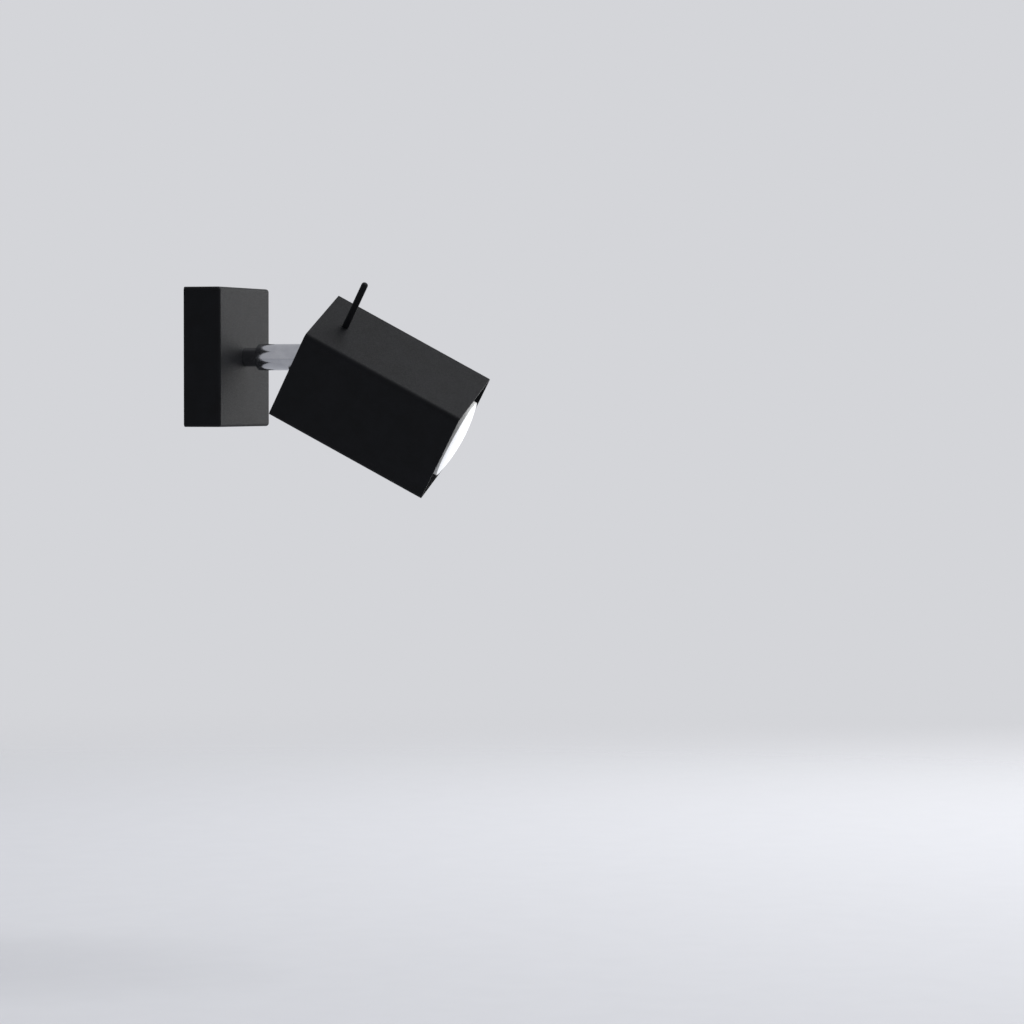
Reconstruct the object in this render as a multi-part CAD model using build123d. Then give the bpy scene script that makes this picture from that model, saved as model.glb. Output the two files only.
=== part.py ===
from build123d import *
from math import pi
import os

# Pivoting spotlight wall light, millimetres.
# World frame: +Z up, the wall is the plane Y = 0, the light stands out towards -Y.
# Each piece is drawn in the frame of the body it belongs to: x across, y up, z outwards.

# ---------------------------------------------------------------- base cover
BASE_W = 84.0            # width along the wall
BASE_H = 84.0            # height
BASE_DEPTH = 23.2        # wall to front face
COVER_WALL = 1.5
COVER_CORNER_R = 2.0     # the four edges square to the wall
COVER_EDGE_R = 1.8       # rounding round the front face

# ---------------------------------------------------------------- wall bracket
BRACKET_T = 1.5
PLATE_SIDE_GAP = 2.5     # cover's inner wall to the plate's sides
PLATE_H = 58.0
PLATE_CORNER_R = 4.0
EAR_W = 18.0
EAR_REACH = 13.0         # wall to the ear's free end
EAR_HOLE_OUT = 8.0       # wall to the cover screw's axis
SLOT_SPACING = 60.0      # between the wall screws
SLOT_LENGTH = 9.0
SLOT_R = 2.25
CABLE_HOLE_R = 9.0
EARTH_X, EARTH_Y = -17.0, -19.0

# ---------------------------------------------------------------- terminal block
BLOCK_W, BLOCK_D, BLOCK_H = 30.0, 13.0, 12.0   # across, up, outwards
BLOCK_CHAMFER = 0.8
BLOCK_Y = 19.0           # its centre, above the cable hole
POLE_PITCH = 10.0
POLE_R = 2.6             # brass clamp tube
POLE_BORE_R = 1.5
POLE_OUT = 5.5           # bracket face to the clamp's axis
POLE_INSET = 1.0         # clamp's end inside the block's face
TERM_SCREW_R = 1.5
TERM_SCREW_OFF = 3.3     # from the block's middle

# ---------------------------------------------------------------- screws and nuts
M3_R = 1.5
M3_SUNK_R = 2.75         # countersunk head
M3_PAN_R, M3_PAN_H = 2.8, 1.9
M4_R = 2.0
M4_PAN_R, M4_PAN_H = 3.6, 2.4
DRIVER_W, DRIVER_DEEP = 0.8, 0.7
THREAD_SPARE = 0.8       # thread that shows behind a tapped wall
STEM_NUT_AF, STEM_NUT_H = 14.0, 3.0
STUD_NUT_AF, STUD_NUT_H = 12.0, 4.0

# ---------------------------------------------------------------- neck stem
STEM_THREAD_R = 5.0      # hollow thread through the cover
STEM_BORE_R = 3.2
STEM_TAIL = 1.6          # thread beyond the nut
NECK_R = 5.7
NECK_LEN = 9.0           # cover face to the shoulder
STEM_WASHER_R, STEM_WASHER_T = 8.5, 0.8
WASHER_TEETH = 12
NOTCH_W, NOTCH_DEEP = 1.2, 1.2   # between two teeth
SPIGOT_R = 4.8           # the barrel turns on it
SPIGOT_TAIL = 0.9        # spigot beyond its circlip
CIRCLIP_T = 0.8
CIRCLIP_DEEP = 0.6       # groove depth
CIRCLIP_BAND = 1.9       # ring width
CIRCLIP_GAP = 3.0        # opening of the ring

# ---------------------------------------------------------------- socket barrel
PIVOT_REACH = 40.9       # cover face to the ball's centre
BARREL_WALL = 1.4
BARREL_NOSE = 3.4        # ball centre to the barrel's end
BARREL_CHAMFER = 0.4
PLUG_LEN = 6.0
FRICTION_WASHER_T = 0.6
DISC_COUNT = 4
DISC_T = 0.5
DISC_LIFT = 0.5          # cone height of one disc spring
CUP_BORE_R = 4.2
CUP_BEHIND = 2.4         # ball centre back to the cup's rim

# ---------------------------------------------------------------- ball stud
BALL_R = 6.5
STUD_R = 4.0
STUD_BORE_R = 2.5
COLLAR_R = 6.5
COLLAR_AF = 11.0         # spanner flats
COLLAR_T = 3.0
COLLAR_REACH = 17.9      # ball centre to the collar's front face
STUD_TAIL = 1.6          # thread beyond the nut
TILT_MAX = 65.0          # straight out is 0, downwards is positive
TILT_SPARE = 1.5         # degrees that the slots are cut beyond the travel
SPRING_R = 7.0           # disc spring under the stud nut
SPRING_T = 0.5
SPRING_LIFT = 0.4

# ---------------------------------------------------------------- head
HEAD_SIDE = 62.0
HEAD_LEN = 105.0
HEAD_WALL = 1.5
HEAD_CORNER_R = 3.0
RIM_EDGE_R = 0.3
HEAD_BEHIND = 3.2        # ball centre back to the rear rim
SLIP_WASHER_R, SLIP_WASHER_T = 7.5, 0.4
CARRIER_T = 1.5
FLANGE_W = 32.0
FLANGE_LEN = 12.0        # back from the carrier's rear face
VENT_R = 2.5
VENT_LEN = 30.0
VENT_OUT = 19.0          # centre of a vent from the axis
HANDLE_AT = 12.5         # ball centre to the handle's axis
HANDLE_R = 2.0
HANDLE_LEN = 33.0
HANDLE_TIP_R = 1.4

# ---------------------------------------------------------------- lampholder and lamp
HAT_T = 1.2
HAT_DEPTH = 16.0
HAT_WEB_W = 34.0
HAT_FOOT = 9.0
HAT_WINDOW_R = 5.0
HOLDER_R = 15.0
HOLDER_LEN = 19.0
HOLDER_SCREW_X = 10.5
HOLDER_FACE_T = 3.0      # thickness over the twist-lock cavity
HOLDER_EDGE = 0.6
LAMP_R = 25.0
LAMP_BODY_LEN = 45.8     # shoulder to face
LAMP_NECK_R = 13.5
LAMP_NECK_LEN = 9.0
LAMP_WAIST = 0.62        # flare at half its height, as a share of the step from neck to rim
LAMP_RIM_LEN = 6.3
LAMP_PROUD = 0.8         # face beyond the shell's front rim
LAMP_LIP = 0.9           # rim left round the lens
LAMP_RIM_EDGE = 0.5
LENS_T = 2.0
LENS_DOME = 3.0
PIN_PITCH = 10.0
PIN_NECK_R = 1.5
PIN_HEAD_R = 2.4
PIN_LEN = 7.0
PIN_HEAD_LEN = 2.6
TWIST = 25.0             # turn that frees the lamp
PIN_REST = (90, 270)     # where the pins rest, round the lamp's axis

# ---------------------------------------------------------------- leads
LEAD_R = 1.0
LEAD_OFF = 1.4           # each lead's centre from the axis of a bore
LEAD_BEND_R = 3.2
LEAD_HOLE_X = 3.2        # lead entries in the lampholder's back
LEAD_GRIP = 4.0          # lead inside the lampholder
TAG_R, TAG_T = 3.9, 0.8
TAG_BARREL_R, TAG_BARREL_LEN = 1.5, 4.0
TAG_REACH = 11.0         # screw axis to the end of the tag
EARTH_OUT, EARTH_IN = 4.5, 7.0   # straight runs of the earth lead, at the block and at the tag
EARTH_LOW = 3.0          # where it turns, over the arm's axis
EARTH_ASIDE = 0.5        # turn, beyond halfway to the tag

# ---------------------------------------------------------------- clearances
RUN = 0.05               # radial, shaft in bore
BALL_GAP = 0.1           # round the ball
FIT = 0.1                # still pieces side by side
HOLE = 0.2               # screw or thread through a plain hole
TAP = 0.03               # thread in its tapped hole
PLAY = 0.2               # between turning end faces
SEAT = 0.05              # between stacked washers
SIDE = 0.25              # carrier in the shell, ear in the cover
SWING = 0.3              # round the stud in the barrel's slot

# ---------------------------------------------------------------- pose in the photograph
ARM_TURN = 21.5          # barrel about the arm, slot straight down is 0
HEAD_TILT = 31.2
HEAD_SPIN = 2.9

PIVOT_OUT = BASE_DEPTH + PIVOT_REACH
WALL = Location(Plane(origin=(0, 0, 0), x_dir=(1, 0, 0), z_dir=(0, -1, 0)))
ARM = WALL * Rot(0, 0, ARM_TURN)
SOCKET = ARM * Pos(0, 0, PIVOT_OUT)
STUD = SOCKET * Rot(HEAD_TILT, 0, 0)
HEAD = STUD * Rot(0, 0, HEAD_SPIN)

# Stations along the arm, measured from the wall.
COVER_INNER = BASE_DEPTH - COVER_WALL
STEM_NUT_OUT = COVER_INNER - STEM_WASHER_T
STEM_REAR = STEM_NUT_OUT - STEM_NUT_H - STEM_TAIL
SHOULDER = BASE_DEPTH + NECK_LEN
BARREL_REAR = SHOULDER + PLAY
PLUG_FRONT = BARREL_REAR + PLUG_LEN
FRICTION_REAR = PLUG_FRONT + SEAT
CIRCLIP_REAR = FRICTION_REAR + FRICTION_WASHER_T + SEAT
CIRCLIP_FRONT = CIRCLIP_REAR + CIRCLIP_T
SPIGOT_END = CIRCLIP_FRONT + SPIGOT_TAIL
DISC_REAR = CIRCLIP_FRONT + SEAT
DISC_PITCH = DISC_T + DISC_LIFT + SEAT
CUP_REAR = DISC_REAR + DISC_COUNT * DISC_PITCH
CUP_FRONT = PIVOT_OUT - CUP_BEHIND
BARREL_BORE_R = BALL_R + BALL_GAP
BARREL_R = BARREL_BORE_R + BARREL_WALL
POLE_AXIS = BRACKET_T + POLE_OUT
BLOCK_TOP = BRACKET_T + BLOCK_H
PLATE_W = BASE_W - 2 * (COVER_WALL + PLATE_SIDE_GAP)
EAR_OUT = BASE_H / 2 - COVER_WALL - SIDE

# Stations along the head's axis, measured from the ball's centre.
REAR_RIM = -HEAD_BEHIND
FRONT_RIM = REAR_RIM + HEAD_LEN
CARRIER_REAR = COLLAR_REACH + SEAT + SLIP_WASHER_T + SEAT
CARRIER_FRONT = CARRIER_REAR + CARRIER_T
SPRING_REAR = CARRIER_FRONT + SEAT
STUD_NUT_REAR = SPRING_REAR + SPRING_T + SPRING_LIFT + SEAT
STUD_END = STUD_NUT_REAR + STUD_NUT_H + STUD_TAIL
LAMP_FACE = FRONT_RIM + LAMP_PROUD
LAMP_SHOULDER = LAMP_FACE - LAMP_BODY_LEN
HOLDER_FACE = LAMP_SHOULDER - PLAY
HOLDER_REAR = HOLDER_FACE - HOLDER_LEN
INNER_HALF = HEAD_SIDE / 2 - HEAD_WALL
FLANGE_OUT = INNER_HALF - SIDE
FOOT_FRONT = CARRIER_FRONT + HAT_T
FOOT_SCREW_X = HAT_WEB_W / 2 + HAT_FOOT / 2

UP = Rot(-90, 0, 0)      # turns a piece's z axis to +y
DOWN = Rot(90, 0, 0)     # turns a piece's z axis to -y
COVER_SCREWS = [Pos(0, BASE_H / 2, EAR_HOLE_OUT) * UP, Pos(0, -BASE_H / 2, EAR_HOLE_OUT) * DOWN]
SHELL_SCREW = Pos(0, -HEAD_SIDE / 2, HANDLE_AT) * DOWN
HANDLE_SEAT = Pos(0, HEAD_SIDE / 2, HANDLE_AT) * UP
POLES = [i * POLE_PITCH for i in (-1, 0, 1)]


def rod(radius, z0, z1, x=0.0, y=0.0):
    """Round bar along z."""
    return Pos(x, y, z0) * Cylinder(radius, z1 - z0, align=(Align.CENTER, Align.CENTER, Align.MIN))


def ring(inner, outer, z0, z1):
    return rod(outer, z0, z1) - rod(inner, z0, z1)


def block(w, d, z0, z1, x=0.0, y=0.0):
    """Rectangular block along z."""
    return Pos(x, y, z0) * Box(w, d, z1 - z0, align=(Align.CENTER, Align.CENTER, Align.MIN))


def rounded(w, d, radius, z0, z1):
    """Block along z with its four long edges rounded."""
    return Pos(0, 0, z0) * extrude(RectangleRounded(w, d, radius), z1 - z0)


def hex_nut(af, thread_r, z0, z1):
    body = Pos(0, 0, z0) * extrude(RegularPolygon(af / 2, 6, major_radius=False), z1 - z0)
    return body - rod(thread_r + TAP, z0, z1)


def cone_ring(inner, outer, z0, thick, lift):
    """Disc spring whose inner edge stands lift above its outer edge; a negative lift turns it over."""
    low = max(0.0, -lift)
    points = [(inner, z0 + low + lift), (outer, z0 + low),
              (outer, z0 + low + thick), (inner, z0 + low + lift + thick)]
    return revolve(Plane.XZ * make_face(Polyline(*points, close=True)), Axis.Z)


def swing(radius, reach, first, last):
    """Space that a round bar from the origin passes as it tilts from first to last degrees."""
    tips = [Vector(0, 0, reach).rotate(Axis.X, a) for a in (first, (first + last) / 2, last)]
    sector = Plane.YZ * make_face(Polyline((0, 0), *[(t.Y, t.Z) for t in tips], close=True))
    space = extrude(sector, radius, both=True)
    for angle in (first, last):
        space += Rot(angle, 0, 0) * rod(radius, 0, reach)
    return space


def driver_slot(top, head_r, x=0.0, y=0.0):
    return block(2.4 * head_r, DRIVER_W, top - DRIVER_DEEP, top + DRIVER_DEEP, x, y)


def sunk_screw(length):
    """M3 countersunk screw, head top at z = 0, shank towards -z."""
    depth = M3_SUNK_R - M3_R
    head = Pos(0, 0, -depth / 2) * Cone(M3_R, M3_SUNK_R, depth)
    return head + rod(M3_R, -length, -depth) - driver_slot(0, M3_SUNK_R)


def sunk_hole(length):
    """Space for a flush M3 countersunk screw in its wall."""
    low, high = M3_R + HOLE, M3_SUNK_R + HOLE
    depth = high - low
    return Pos(0, 0, -depth / 2) * Cone(low, high, depth) + rod(low, -length, -depth / 2)


def pan_screw(radius, head_r, head_h, length):
    """Pan-head screw, underside of the head at z = 0, shank towards -z."""
    head = rod(head_r, 0, head_h)
    head = fillet(head.edges().group_by(Axis.Z)[-1], 0.4 * head_h)
    return head + rod(radius, -length, 0) - driver_slot(head_h, head_r)


def lead(*points):
    """Round insulated lead through the points."""
    path = FilletPolyline(*points, radius=LEAD_BEND_R)
    start = Plane(origin=path @ 0, z_dir=path % 0)
    tube = sweep(start * Circle(LEAD_R), path=path)
    print("lead", round(path.length, 1), "mm, bends", LEAD_BEND_R, "mm, volume ratio",
          round(tube.volume / (path.length * pi * LEAD_R ** 2), 4))
    return tube


# ================================================================ base
def base_cover():
    shell = rounded(BASE_W, BASE_H, COVER_CORNER_R, 0, BASE_DEPTH)
    shell = fillet(shell.edges().group_by(Axis.Z)[-1], COVER_EDGE_R)
    inner_r = max(COVER_CORNER_R - COVER_WALL, 0.2)
    shell -= rounded(BASE_W - 2 * COVER_WALL, BASE_H - 2 * COVER_WALL, inner_r, 0, COVER_INNER)
    shell -= rod(STEM_THREAD_R + HOLE, 0, BASE_DEPTH)
    for place in COVER_SCREWS:
        shell -= place * sunk_hole(2 * COVER_WALL)
    return shell


def wall_bracket():
    plate = rounded(PLATE_W, PLATE_H, PLATE_CORNER_R, 0, BRACKET_T)
    plate += block(EAR_W, 2 * EAR_OUT, 0, BRACKET_T)
    for side in (1, -1):
        plate += block(EAR_W, BRACKET_T, 0, EAR_REACH, y=side * (EAR_OUT - BRACKET_T / 2))
    plate -= rod(CABLE_HOLE_R, 0, BRACKET_T)
    for x in (-SLOT_SPACING / 2, SLOT_SPACING / 2):
        plate -= Pos(x, 0, 0) * extrude(SlotOverall(SLOT_LENGTH, 2 * SLOT_R), BRACKET_T)
    for place in COVER_SCREWS:
        plate -= place * rod(M3_R + TAP, -(COVER_WALL + SIDE + 2 * BRACKET_T), 0)
    plate -= rod(M4_R + TAP, 0, BRACKET_T, EARTH_X, EARTH_Y)
    plate -= rod(M3_R + TAP, 0, BRACKET_T, POLE_PITCH / 2, BLOCK_Y)
    return plate


def cover_screws():
    length = COVER_WALL + SIDE + BRACKET_T + THREAD_SPARE
    return [place * sunk_screw(length) for place in COVER_SCREWS]


def term_screw_spots():
    return [(x, BLOCK_Y + s * TERM_SCREW_OFF) for x in POLES for s in (1, -1)]


def terminal_block():
    body = block(BLOCK_W, BLOCK_D, BRACKET_T, BLOCK_TOP, y=BLOCK_Y)
    body = chamfer(body.edges().group_by(Axis.Z)[-1], BLOCK_CHAMFER)
    for x in POLES:
        body -= Pos(x, BLOCK_Y, POLE_AXIS) * UP * Cylinder(POLE_R + TAP, BLOCK_D)
    for x, y in term_screw_spots():
        body -= rod(TERM_SCREW_R + FIT, POLE_AXIS, BLOCK_TOP, x, y)
    body -= rod(M3_R + HOLE, BRACKET_T, BLOCK_TOP, POLE_PITCH / 2, BLOCK_Y)
    body -= rod(M3_PAN_R + HOLE, BLOCK_TOP - M3_PAN_H - FIT, BLOCK_TOP, POLE_PITCH / 2, BLOCK_Y)
    return body


def terminal_clamps():
    clamps = []
    for x in POLES:
        tube = Cylinder(POLE_R, BLOCK_D - 2 * POLE_INSET) - Cylinder(POLE_BORE_R, BLOCK_D)
        tube = Pos(x, BLOCK_Y, POLE_AXIS) * UP * tube
        for s in (1, -1):
            tube -= rod(TERM_SCREW_R + TAP, POLE_AXIS, BLOCK_TOP, x, BLOCK_Y + s * TERM_SCREW_OFF)
        clamps.append(tube)
    return clamps


def terminal_screws():
    top = BLOCK_TOP - POLE_INSET
    low = POLE_AXIS + LEAD_R + SEAT
    return [rod(TERM_SCREW_R, low, top, x, y) - driver_slot(top, TERM_SCREW_R, x, y)
            for x, y in term_screw_spots()]


def block_screw():
    seat = BLOCK_TOP - M3_PAN_H - FIT
    return Pos(POLE_PITCH / 2, BLOCK_Y, seat) * pan_screw(M3_R, M3_PAN_R, M3_PAN_H, seat)


def earth_tag():
    """Ring terminal: flat ring round the screw, tongue, and the crimped barrel of the lead."""
    tag = ring(M4_R + FIT, TAG_R, BRACKET_T, BRACKET_T + TAG_T)
    start = TAG_REACH - TAG_BARREL_LEN
    tag += block(2 * TAG_BARREL_R, start - M4_R, BRACKET_T, BRACKET_T + TAG_T,
                 y=(start + M4_R) / 2 + FIT)
    tag += Pos(0, start, BRACKET_T + TAG_BARREL_R) * UP * rod(TAG_BARREL_R, 0, TAG_BARREL_LEN)
    return Pos(EARTH_X, EARTH_Y, 0) * tag


def earth_screw():
    seat = BRACKET_T + TAG_T
    return Pos(EARTH_X, EARTH_Y, seat) * pan_screw(M4_R, M4_PAN_R, M4_PAN_H, seat)


def neck_stem():
    body = rod(STEM_THREAD_R, STEM_REAR, BASE_DEPTH) + rod(NECK_R, BASE_DEPTH, SHOULDER)
    body += rod(SPIGOT_R, SHOULDER, SPIGOT_END)
    body -= ring(SPIGOT_R - CIRCLIP_DEEP, SPIGOT_R, CIRCLIP_REAR - TAP, CIRCLIP_FRONT + TAP)
    return body - rod(STEM_BORE_R, STEM_REAR, SPIGOT_END)


def stem_washer():
    """Toothed lock washer between the nut and the cover."""
    disc = ring(STEM_THREAD_R + HOLE, STEM_WASHER_R, STEM_NUT_OUT, COVER_INNER)
    notch = block(NOTCH_W, 2 * NOTCH_DEEP, STEM_NUT_OUT, COVER_INNER, y=STEM_WASHER_R)
    for spot in PolarLocations(0, WASHER_TEETH):
        disc -= spot * notch
    return disc


def stem_nut():
    return hex_nut(STEM_NUT_AF, STEM_THREAD_R, STEM_NUT_OUT - STEM_NUT_H, STEM_NUT_OUT)


def friction_washer():
    return ring(SPIGOT_R + RUN, BARREL_BORE_R - HOLE, FRICTION_REAR, FRICTION_REAR + FRICTION_WASHER_T)


def circlip():
    inner = SPIGOT_R - CIRCLIP_DEEP + TAP
    clip = ring(inner, inner + CIRCLIP_BAND, CIRCLIP_REAR, CIRCLIP_FRONT)
    return clip - block(CIRCLIP_GAP, SPIGOT_R + CIRCLIP_BAND, CIRCLIP_REAR, CIRCLIP_FRONT,
                        y=(SPIGOT_R + CIRCLIP_BAND) / 2)


def base_leads():
    """Two supply leads through the stem, and the earth lead between the block and the bracket."""
    end_y = BLOCK_Y - BLOCK_D / 2 - LEAD_BEND_R
    leads = []
    for side in (-1, 1):
        x = side * LEAD_OFF
        leads.append(lead((x, 0, SPIGOT_END), (x, 0, POLE_AXIS), (side * POLE_PITCH, end_y, POLE_AXIS),
                          (side * POLE_PITCH, BLOCK_Y, POLE_AXIS)))
    low = BRACKET_T + TAG_BARREL_R
    tag_y = EARTH_Y + TAG_REACH
    leads.append(lead((0, BLOCK_Y, POLE_AXIS), (0, BLOCK_Y - BLOCK_D / 2 - EARTH_OUT, POLE_AXIS),
                      (EARTH_X / 2 + EARTH_ASIDE, EARTH_LOW, low), (EARTH_X, tag_y + EARTH_IN, low),
                      (EARTH_X, tag_y, low)))
    return leads


# ================================================================ socket
def socket_barrel():
    """Tube with a ball seat behind its open nose, slotted so the stud can swing down."""
    nose = PIVOT_OUT + BARREL_NOSE
    body = rod(BARREL_R, BARREL_REAR, nose)
    body = chamfer(body.edges().filter_by(GeomType.CIRCLE), BARREL_CHAMFER)
    body -= rod(BARREL_BORE_R, BARREL_REAR, PIVOT_OUT)
    body -= Pos(0, 0, PIVOT_OUT) * Sphere(BARREL_BORE_R)
    return body - Pos(0, 0, PIVOT_OUT) * swing(STUD_R + SWING, 2 * BARREL_R, 0, TILT_MAX + TILT_SPARE)


def barrel_plug():
    return ring(SPIGOT_R + RUN, BARREL_BORE_R - TAP, BARREL_REAR, PLUG_FRONT)


def disc_springs():
    """Stacked by turns, so that inner edges meet and outer edges meet."""
    springs = []
    for i in range(DISC_COUNT):
        lift = DISC_LIFT if i % 2 == 0 else -DISC_LIFT
        springs.append(cone_ring(SPIGOT_R + HOLE, BARREL_BORE_R - HOLE, DISC_REAR + i * DISC_PITCH,
                                 DISC_T, lift))
    return springs


def pressure_cup():
    body = ring(CUP_BORE_R, BARREL_BORE_R - FIT, CUP_REAR, CUP_FRONT)
    return body - Pos(0, 0, PIVOT_OUT) * Sphere(BALL_R + BALL_GAP / 2)


# ================================================================ ball stud
def ball_stud():
    """Hollow ball stud; the ball's back is slotted so that the leads stay free as it tilts."""
    collar_rear = COLLAR_REACH - COLLAR_T
    collar = rod(COLLAR_R, collar_rear, COLLAR_REACH) & block(COLLAR_AF, 3 * COLLAR_R, collar_rear,
                                                              COLLAR_REACH)
    body = Sphere(BALL_R) + rod(STUD_R, 0, STUD_END) + collar
    body -= rod(STUD_BORE_R, 0, STUD_END)
    return body - swing(STUD_BORE_R, 1.5 * BALL_R, 180 - TILT_MAX, 180)


def stud_spring():
    return cone_ring(STUD_R + HOLE, SPRING_R, SPRING_REAR, SPRING_T, SPRING_LIFT)


def stud_nut():
    return hex_nut(STUD_NUT_AF, STUD_R, STUD_NUT_REAR, STUD_NUT_REAR + STUD_NUT_H)


# ================================================================ head
def slip_washer():
    rear = COLLAR_REACH + SEAT
    return ring(STUD_R + HOLE, SLIP_WASHER_R, rear, rear + SLIP_WASHER_T)


def carrier():
    """Square plate across the shell with an upper and a lower flange bent back."""
    plate = rounded(2 * FLANGE_OUT, 2 * FLANGE_OUT, HEAD_CORNER_R, CARRIER_REAR, CARRIER_FRONT)
    for side in (1, -1):
        plate += block(FLANGE_W, CARRIER_T, CARRIER_REAR - FLANGE_LEN, CARRIER_FRONT,
                       y=side * (FLANGE_OUT - CARRIER_T / 2))
        plate -= Pos(0, side * VENT_OUT, CARRIER_REAR) * extrude(
            SlotOverall(VENT_LEN, 2 * VENT_R), CARRIER_T)
        plate -= rod(M3_R + TAP, CARRIER_REAR, CARRIER_FRONT, x=side * FOOT_SCREW_X)
    plate -= rod(STUD_R + RUN, CARRIER_REAR, CARRIER_FRONT)
    for place in (HANDLE_SEAT, SHELL_SCREW):
        plate -= place * rod(M3_R + TAP, -(HEAD_WALL + SIDE + 2 * CARRIER_T), 0)
    return plate


def head_shell():
    """Square tube, open at both ends."""
    shell = rounded(HEAD_SIDE, HEAD_SIDE, HEAD_CORNER_R, REAR_RIM, FRONT_RIM)
    rims = shell.edges().group_by(Axis.Z)
    shell = fillet(rims[0] + rims[-1], RIM_EDGE_R)
    shell -= rounded(2 * INNER_HALF, 2 * INNER_HALF, HEAD_CORNER_R - HEAD_WALL, REAR_RIM, FRONT_RIM)
    shell -= HANDLE_SEAT * rod(M3_R + HOLE, -2 * HEAD_WALL, 0)
    return shell - SHELL_SCREW * sunk_hole(2 * HEAD_WALL)


def aiming_handle():
    grip = rod(HANDLE_R, 0, HANDLE_LEN)
    grip = fillet(grip.edges().group_by(Axis.Z)[-1], HANDLE_TIP_R)
    tail = HEAD_WALL + SIDE + CARRIER_T + THREAD_SPARE
    return HANDLE_SEAT * (grip + rod(M3_R, -tail, 0))


def shell_screw():
    return SHELL_SCREW * sunk_screw(HEAD_WALL + SIDE + CARRIER_T + THREAD_SPARE)


def holder_bracket():
    """Hat-shaped strip: two feet on the carrier, two legs and the web that carries the lampholder."""
    strip = block(HAT_WEB_W, HAT_DEPTH, HOLDER_REAR - HAT_T, HOLDER_REAR)
    for side in (1, -1):
        strip += block(HAT_T, HAT_DEPTH, CARRIER_FRONT, HOLDER_REAR, x=side * (HAT_WEB_W - HAT_T) / 2)
        strip += block(HAT_FOOT + HAT_T, HAT_DEPTH, CARRIER_FRONT, FOOT_FRONT,
                       x=side * (HAT_WEB_W + HAT_FOOT - HAT_T) / 2)
        strip -= rod(M3_R + HOLE, CARRIER_FRONT, FOOT_FRONT, x=side * FOOT_SCREW_X)
        strip -= rod(M3_R + TAP, HOLDER_REAR - HAT_T, HOLDER_REAR, x=side * HOLDER_SCREW_X)
    return strip - rod(HAT_WINDOW_R, HOLDER_REAR - HAT_T, HOLDER_REAR)


def bracket_screws():
    length = HAT_T + CARRIER_T + THREAD_SPARE
    return [Pos(side * FOOT_SCREW_X, 0, FOOT_FRONT) * pan_screw(M3_R, M3_PAN_R, M3_PAN_H, length)
            for side in (1, -1)]


def lampholder():
    """Ceramic body with two keyholes in its face and a cavity behind them for the pin heads."""
    body = rod(HOLDER_R, HOLDER_REAR, HOLDER_FACE)
    body = chamfer(body.edges().filter_by(GeomType.CIRCLE), HOLDER_EDGE)
    neck_w, head_w = 2 * (PIN_NECK_R + HOLE), 2 * (PIN_HEAD_R + HOLE)
    cavity_floor = LAMP_SHOULDER - PIN_LEN - HOLE
    cavity_top = HOLDER_FACE - HOLDER_FACE_T
    for start in PIN_REST:
        run = CenterArc((0, 0), PIN_PITCH / 2, start, TWIST)
        body -= Pos(0, 0, cavity_floor) * extrude(SlotArc(run, head_w), cavity_top - cavity_floor)
        body -= Pos(0, 0, cavity_top) * extrude(SlotArc(run, neck_w), HOLDER_FACE_T)
        key = run @ 1
        body -= rod(head_w / 2, cavity_top, HOLDER_FACE, key.X, key.Y)
    for side in (1, -1):
        body -= Pos(side * HOLDER_SCREW_X, 0, HOLDER_FACE) * sunk_hole(HOLDER_LEN)
        body -= rod(LEAD_R + FIT, HOLDER_REAR, HOLDER_REAR + LEAD_GRIP, x=side * LEAD_HOLE_X)
    return body


def holder_screws():
    length = HOLDER_LEN + HAT_T + THREAD_SPARE
    return [Pos(side * HOLDER_SCREW_X, 0, HOLDER_FACE) * sunk_screw(length) for side in (1, -1)]


def head_leads():
    """Two leads from the stud's bore to the lampholder's back."""
    return [lead((side * LEAD_OFF, 0, 0), (side * LEAD_OFF, 0, STUD_END + LEAD_R),
                 (side * LEAD_HOLE_X, 0, HOLDER_REAR - HAT_T - LEAD_R),
                 (side * LEAD_HOLE_X, 0, HOLDER_REAR + LEAD_GRIP)) for side in (-1, 1)]


# ================================================================ lamp
def lamp_body():
    """Reflector lamp: narrow neck, flared shell and straight rim, recessed for the lens."""
    neck_top = LAMP_SHOULDER + LAMP_NECK_LEN
    rim = LAMP_FACE - LAMP_RIM_LEN
    outline = Polyline((0, LAMP_SHOULDER), (LAMP_NECK_R, LAMP_SHOULDER), (LAMP_NECK_R, neck_top))
    outline += ThreePointArc((LAMP_NECK_R, neck_top),
                             (LAMP_NECK_R + LAMP_WAIST * (LAMP_R - LAMP_NECK_R), (neck_top + rim) / 2),
                             (LAMP_R, rim))
    outline += Polyline((LAMP_R, rim), (LAMP_R, LAMP_FACE), (0, LAMP_FACE), (0, LAMP_SHOULDER))
    body = revolve(Plane.XZ * make_face(outline), Axis.Z)
    body = fillet(body.edges().filter_by(GeomType.CIRCLE).group_by(Axis.Z)[-1], LAMP_RIM_EDGE)
    return body - rod(LAMP_R - LAMP_LIP, LAMP_FACE - LENS_T, LAMP_FACE)


def lamp_lens():
    """Diffusing disc with a shallow dome."""
    radius = LAMP_R - LAMP_LIP - SEAT
    curve_r = (radius ** 2 + LENS_DOME ** 2) / (2 * LENS_DOME)
    disc = rod(radius, LAMP_FACE - LENS_T, LAMP_FACE + LENS_DOME)
    return disc & Pos(0, 0, LAMP_FACE + LENS_DOME - curve_r) * Sphere(curve_r)


def lamp_pins():
    neck_end = LAMP_SHOULDER - PIN_LEN + PIN_HEAD_LEN
    return [rod(PIN_NECK_R, neck_end, LAMP_SHOULDER, y=side * PIN_PITCH / 2)
            + rod(PIN_HEAD_R, LAMP_SHOULDER - PIN_LEN, neck_end, y=side * PIN_PITCH / 2)
            for side in (1, -1)]


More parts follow.
